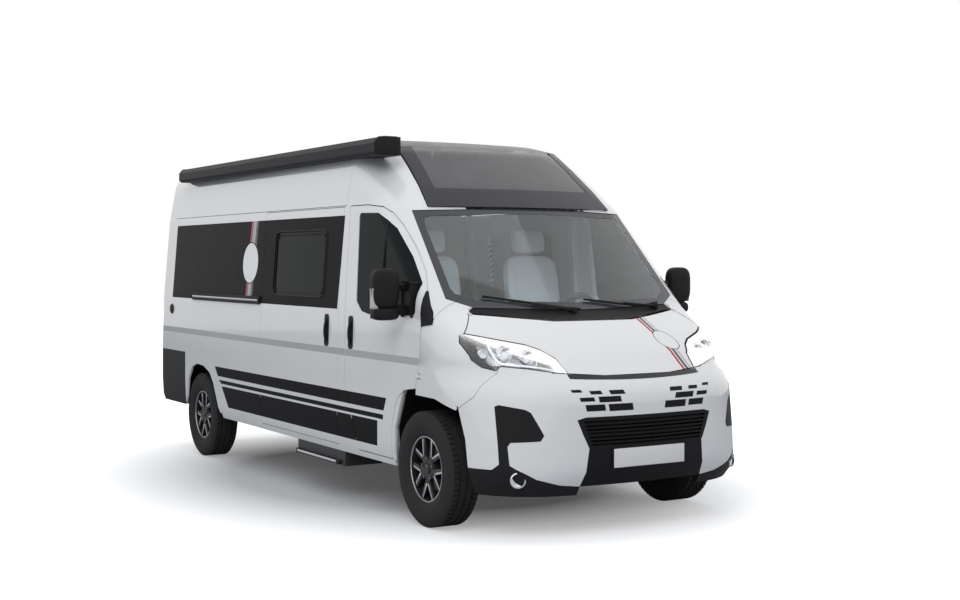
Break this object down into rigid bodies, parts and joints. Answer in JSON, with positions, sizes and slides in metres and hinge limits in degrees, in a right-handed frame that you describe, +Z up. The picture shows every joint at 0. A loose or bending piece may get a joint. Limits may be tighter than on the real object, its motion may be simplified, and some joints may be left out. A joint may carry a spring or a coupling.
{
  "type": "camper van",
  "caption": "High-roof camper van with steered front wheels, hinged cab and rear doors, side sliding door, awning, entry step and roof vent.",
  "frame": {"origin": "on the ground, under the middle of the vehicle's length and width", "axes": "+X forward, +Y to the vehicle's left, +Z up"},
  "size_m": [5.9966, 2.5, 2.6012],
  "materials": {
    "paint_white": "gloss",
    "paint_dark": "gloss",
    "plastic_black": "matte",
    "glass_dark": "tinted",
    "glass_clear": "clear",
    "lamp": "clear cover",
    "lamp_red": "gloss",
    "tyre": "matte",
    "alloy": "gloss black",
    "steel": "satin",
    "metal": "cast",
    "awning_case": "anthracite",
    "step_metal": "satin",
    "floor_ply": "sealed",
    "cabinet": "laminate",
    "fabric_grey": "woven"
  },
  "bodies": {
    "body": {"side_right": "paint_white", "side_left": "paint_white", "upper_panels": "paint_white", "front_wings": "paint_white", "sliding_door": "paint_white", "side_windows": "glass_dark", "windscreen": "glass_clear", "cowl": "plastic_black", "headlamps": "lamp", "bumper_front": "paint_white", "bumper_trim": "plastic_black", "grille": "plastic_black", "rear_bumper": "plastic_black", "tail_lamps": "lamp_red", "roof": "paint_white", "roof_cap": "paint_dark", "skylight": "glass_dark", "body_frame": "steel", "floor": "floor_ply", "arch_liners": "plastic_black", "underbody": "steel", "front_frame": "steel", "front_subframe": "steel", "rear_axle": "steel", "engine": "metal", "awning": "awning_case", "slide_rail": "plastic_black", "step_case": "steel", "front_seats": "fabric_grey", "dashboard": "plastic_black", "furniture": "cabinet", "cushions": "fabric_grey"},
    "door_right": {"door_front_right": "paint_white", "door_glass_right": "glass_dark", "mirror_right": "plastic_black"},
    "door_left": {"door_front_left": "paint_white", "door_glass_left": "glass_dark", "mirror_left": "plastic_black"},
    "rear_leaf_right": {"rear_door_right": "paint_white", "rear_glass_right": "glass_dark"},
    "rear_leaf_left": {"rear_door_left": "paint_white", "rear_glass_left": "glass_dark"},
    "bonnet_lid": {"bonnet": "paint_white"},
    "step": {"entry_step": "step_metal"},
    "hatch": {"roof_hatch": "plastic_black"},
    "steer_right": {"knuckle_right": "metal"},
    "steer_left": {"knuckle_left": "metal"},
    "wheel_front_right": {"tyre_front_right": "tyre", "rim_front_right": "alloy"},
    "wheel_front_left": {"tyre_front_left": "tyre", "rim_front_left": "alloy"},
    "wheel_rear_right": {"tyre_rear_right": "tyre", "rim_rear_right": "alloy"},
    "wheel_rear_left": {"tyre_rear_left": "tyre", "rim_rear_left": "alloy"}
  },
  "joints": [
    {"name": "door_right_hinge", "type": "hinge", "parent": "body", "child": "door_right", "pos_m": [2.03616, -1.006, 1.1127], "axis": [0.0135, 0, 0.9999], "range_deg": [0, 70]},
    {"name": "rear_leaf_right_hinge", "type": "hinge", "parent": "body", "child": "rear_leaf_right", "pos_m": [-2.99231, -0.843, 0.74033], "axis": [0.0457, 0, 0.999], "range_deg": [0, 180]},
    {"name": "steer_right_pivot", "type": "hinge", "parent": "body", "child": "steer_right", "pos_m": [2.05599, -0.85, 0.357], "axis": [0.0135, 0, 0.9999], "range_deg": [-33, 33]},
    {"name": "wheel_front_right_spin", "type": "hinge", "parent": "steer_right", "child": "wheel_front_right", "pos_m": [2.05599, -0.905, 0.357], "axis": [0, 1, 0], "continuous": true},
    {"name": "wheel_rear_right_spin", "type": "hinge", "parent": "body", "child": "wheel_rear_right", "pos_m": [-1.97938, -0.88, 0.357], "axis": [0, 1, 0], "continuous": true},
    {"name": "door_left_hinge", "type": "hinge", "parent": "body", "child": "door_left", "pos_m": [2.03616, 1.006, 1.1127], "axis": [-0.0135, 0, -0.9999], "range_deg": [0, 70]},
    {"name": "rear_leaf_left_hinge", "type": "hinge", "parent": "body", "child": "rear_leaf_left", "pos_m": [-2.99231, 0.843, 0.74033], "axis": [-0.0457, 0, -0.999], "range_deg": [0, 180]},
    {"name": "steer_left_pivot", "type": "hinge", "parent": "body", "child": "steer_left", "pos_m": [2.05599, 0.85, 0.357], "axis": [0.0135, 0, 0.9999], "range_deg": [-33, 33]},
    {"name": "wheel_front_left_spin", "type": "hinge", "parent": "steer_left", "child": "wheel_front_left", "pos_m": [2.05599, 0.905, 0.357], "axis": [0, 1, 0], "continuous": true},
    {"name": "wheel_rear_left_spin", "type": "hinge", "parent": "body", "child": "wheel_rear_left", "pos_m": [-1.97938, 0.88, 0.357], "axis": [0, 1, 0], "continuous": true},
    {"name": "bonnet_hinge", "type": "hinge", "parent": "body", "child": "bonnet_lid", "pos_m": [2.2438, 0, 1.30793], "axis": [0, -1, 0], "range_deg": [0, 50]},
    {"name": "hatch_hinge", "type": "hinge", "parent": "body", "child": "hatch", "pos_m": [-1.04243, 0, 2.57626], "axis": [0, 1, 0], "range_deg": [0, 60]},
    {"name": "step_slide", "type": "slide", "parent": "body", "child": "step", "axis": [0, -1, 0], "range_m": [0, 0.2]}
  ],
  "couplings": [
    {"joint": "steer_left_pivot", "follows": "steer_right_pivot", "ratio": 1}
  ]
}
